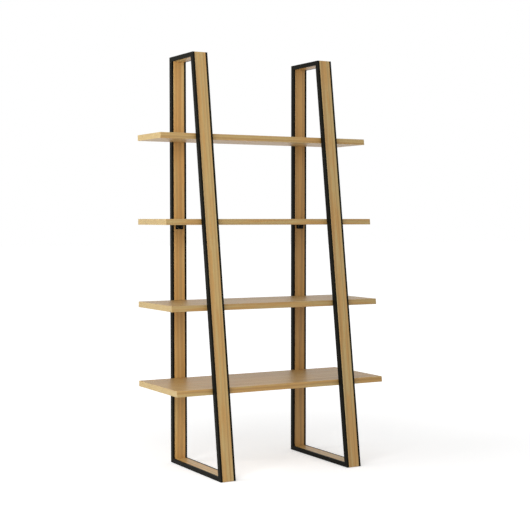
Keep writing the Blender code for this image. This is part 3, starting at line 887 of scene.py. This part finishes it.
# From the nail's head out over the sole, round the edge, back under the rail and up the nail
def makeGlide(node, material):
    middle, foot, tip = turnedSeat(node, (0, 0, 1))
    radius, edge, thickness = glide["radius"], glide["edge"], glide["thickness"]
    nail, dimple, eased = glide["nailRadius"], glide["dimpleRadius"], glide["eased"]
    lipWidth, lipDepth = glide["lip"]
    turn = np.linspace(0, math.pi / 2, glide["edgeSteps"] + 1)
    profile = [(nail * glide["nailFlat"], glide["sunk"]), (nail, glide["sunk"])]
    profile += [(dimple, lipDepth), (dimple + lipWidth, 0), (radius - edge - glide["besideEdge"], 0)]
    profile += list(zip(radius - edge * (1 - np.sin(turn)), edge * (1 - np.cos(turn))))
    profile += [(radius, thickness - eased), (radius - eased, thickness)]
    profile += [(nail + eased, thickness), (nail, thickness + eased)]
    profile += [(nail, tip - foot - glide["point"]), (nail * glide["blunt"], tip - foot)]
    stations = [(out, foot + up, 0, 0) for out, up in profile]
    piece = turned(node + "_disc", middle, (0, 0, 1), stations, glide["columns"])
    seat(piece, node, material)


glideFinish = nylonMaterial("nylon_finish")
for side in sideNames:
    for end in endNames:
        makeGlide(f"{side}_{end}_glide", glideFinish)
print("glides made")


# Hidden joinery: beech tenons with rounded edges and zinc-plated shelf pins
tenon = {
    "cornerRadius": 0.0029,
    "endRadius": 0.0012,
    "leastRadius": 0.0008,
    "arcSteps": 8,
    "besides": (0.00003, 0.00008),
}
beech = {
    "pale": (0.600, 0.405, 0.240, 1),
    "dark": (0.500, 0.310, 0.170, 1),
    "darkGrid": (260.0, 22.0, 260.0),
    "darkEdge": (0.35, 0.65),
    "fleck": (0.330, 0.180, 0.090, 1),
    "fleckGrid": (1500.0, 300.0, 1500.0),
    "fleckEdge": (0.60, 0.70),
    "fleckTint": 0.6,
    "smoothest": 0.45,
    "uneven": 0.2,
    "relief": 0.00008,
}
pin = {
    "chamfer": 0.0008,
    "grooveEvery": 0.003,
    "groove": 0.00012,
    "sharpness": 8,
    "rows": 60,
    "columns": 40,
}
zinc = {
    "colour": (0.62, 0.62, 0.63, 1),
    "dull": (0.44, 0.45, 0.47, 1),
    "dullGrid": (420.0, 420.0, 420.0),
    "dullEdge": (0.4, 0.7),
    "lineGrid": (200.0, 9000.0, 200.0),   # fine lines round the pin
    "smoothest": 0.20,
    "uneven": 0.25,
    "relief": 0.000015,
}


def beechMaterial(name):
    material, tree, shader, spot = startMaterial(name, beech["pale"], beech["smoothest"])
    slow = noise(tree, stretched(tree, spot, beech["darkGrid"]), detail=3.0)
    fine = noise(tree, stretched(tree, spot, beech["fleckGrid"]), detail=1.0)
    flecks = maths(tree, "MULTIPLY", ramp(tree, fine, *beech["fleckEdge"]), beech["fleckTint"])
    base = mixed(tree, ramp(tree, slow, *beech["darkEdge"]), beech["pale"], beech["dark"])
    tree.links.new(mixed(tree, flecks, base, beech["fleck"]), shader.inputs["Base Color"])
    addRoughness(tree, shader, beech, slow)
    addBump(tree, shader, slow, beech["relief"])
    return material


def zincMaterial(name):
    material, tree, shader, spot = startMaterial(name, zinc["colour"], zinc["smoothest"], metallic=1.0)
    patch = noise(tree, stretched(tree, spot, zinc["dullGrid"]), detail=3.0)
    lines = noise(tree, stretched(tree, spot, zinc["lineGrid"]), detail=1.0)
    base = mixed(tree, ramp(tree, patch, *zinc["dullEdge"]), zinc["colour"], zinc["dull"])
    tree.links.new(base, shader.inputs["Base Color"])
    addRoughness(tree, shader, zinc, patch)
    addBump(tree, shader, lines, zinc["relief"])
    return material


def makeTenon(node, material):
    low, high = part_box(node)
    corners = [(low.z, low.x), (high.z, low.x), (high.z, high.x), (low.z, high.x)]
    seat(bar(node + "_beech", corners, low.y, high.y, "Y", tenon), node, material)


# A straight pin: chamfered ends and shallow ring grooves, groove * cosine(turns from the end)^sharpness
# below the surface, with a turn for each spacing
def makePin(node, material):
    middle, start, stop = turnedSeat(node, (0, 1, 0))
    low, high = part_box(node)
    radius, chamfer = (high.x - low.x) / 2, pin["chamfer"]
    run = np.linspace(start + chamfer, stop - chamfer, pin["rows"])
    wave = np.clip(np.cos(2 * math.pi * (run - start) / pin["grooveEvery"]), 0, 1)
    grooved = radius - pin["groove"] * wave ** pin["sharpness"]
    profile = [(radius - chamfer, start), *zip(grooved, run), (radius - chamfer, stop)]
    stations = [(out, along, 0, 0) for out, along in profile]
    piece = turned(node + "_pin", middle, (0, 1, 0), stations, pin["columns"])
    seat(piece, node, material)


beechFinish, zincFinish = beechMaterial("beech_finish"), zincMaterial("bright_steel_finish")
for side in sideNames:
    for end in endNames:
        for rail in ("top", "bottom"):
            makeTenon(f"{side}_{end}_{rail}_tenon", beechFinish)
        for shelf in pinnedShelves:
            makePin(f"{shelf}_{side}_{end}_pin", zincFinish)
print("joinery made")


# Camera, floor and light

view = {
    "place": (-2.61573, -4.69687, 1.09209),
    "yaw": 29.11,        # degrees to the right of a look straight at the front
    "pitch": 3.05,       # degrees down
    "lens": 82.886,      # both in millimetres
    "sensor": 36,
    "shiftY": 0.0349,
    "clipEnd": 100,
}
camera = bpy.data.objects.new("camera", bpy.data.cameras.new("camera"))
camera.location = view["place"]
camera.rotation_euler = (math.radians(90 - view["pitch"]), 0, -math.radians(view["yaw"]))
camera.data.lens = view["lens"]
camera.data.sensor_width = view["sensor"]
camera.data.shift_y = view["shiftY"]
camera.data.clip_end = view["clipEnd"]
bpy.context.scene.collection.objects.link(camera)
bpy.context.scene.camera = camera

# the floor glows a little to the eye, more with distance, so that it meets the white background unseen
floor = {
    "size": 80.0,
    "below": 0.0002,
    "colour": (0.80, 0.80, 0.80, 1),
    "roughness": 0.9,
    "glow": (0.43, 0.74),   # near the object and far from it
    "reach": (0.7, 3.2),    # metres from the middle over which it rises
}


def whiteRays(tree):   # 1 on rays from the camera, on mirrored ones and through glass
    path = place(tree, "ShaderNodeLightPath").outputs
    seen = maths(tree, "MAXIMUM", path["Is Camera Ray"], path["Is Glossy Ray"])
    return maths(tree, "MAXIMUM", seen, path["Is Transmission Ray"])


def makeFloor():
    half = floor["size"] / 2
    mesh = bpy.data.meshes.new("floor")
    corners = np.array([(-half, -half), (half, -half), (half, half), (-half, half)])
    mesh.from_pydata(np.column_stack([corners, np.full(4, -floor["below"])]), [], [(0, 1, 2, 3)])
    piece = bpy.data.objects.new("floor", mesh)
    bpy.context.scene.collection.objects.link(piece)
    material, tree, shader, spot = startMaterial("floor_finish", floor["colour"], floor["roughness"])
    shader.inputs["Base Color"].default_value = floor["colour"]
    shader.inputs["Specular IOR Level"].default_value = 0.0
    shader.inputs["Emission Color"].default_value = (1, 1, 1, 1)
    distance = place(tree, "ShaderNodeVectorMath", {0: spot}, operation="LENGTH").outputs["Value"]
    near, most = floor["glow"]
    glow = maths(tree, "MULTIPLY_ADD", ramp(tree, distance, *floor["reach"]), most - near, near)
    tree.links.new(maths(tree, "MULTIPLY", whiteRays(tree), glow), shader.inputs["Emission Strength"])
    mesh.materials.append(material)


makeFloor()

# name: place, watts, size and whether it shows in reflections; all aim at the middle of the object
lamps = {
    "key": ((-2.2, -2.0, 1.6), 35.0, 1.4, True),
    "side": ((-3.4, 0.4, 1.5), 66.0, 2.0, False),
    "top": ((0.0, -2.2, 4.4), 32.0, 3.0, True),
}
world = {"ambient": 0.465}


def makeLamp(name, spot, watts, size, mirrored):
    light = bpy.data.lights.new(name, "AREA")
    light.energy = watts
    light.size = size
    lamp = bpy.data.objects.new(name, light)
    lamp.location = spot
    aim = (cadBox[0] + cadBox[1]) / 2 - lamp.location
    lamp.rotation_euler = aim.to_track_quat("-Z", "Y").to_euler()
    lamp.visible_camera = False
    lamp.visible_glossy = mirrored
    bpy.context.scene.collection.objects.link(lamp)


for name, lampValues in lamps.items():
    makeLamp(name, *lampValues)


def makeSky():   # white to the eye and in reflections, a plain ambient light to the rest
    sky = bpy.data.worlds.new("sky")
    sky.use_nodes = True
    tree = sky.node_tree
    background = tree.nodes["Background"]
    background.inputs["Color"].default_value = (1, 1, 1, 1)
    strength = maths(tree, "MULTIPLY_ADD", whiteRays(tree), 1 - world["ambient"], world["ambient"])
    tree.links.new(strength, background.inputs["Strength"])
    bpy.context.scene.world = sky


makeSky()
bpy.context.scene.view_settings.view_transform = "Standard"
print("camera, floor and light made")
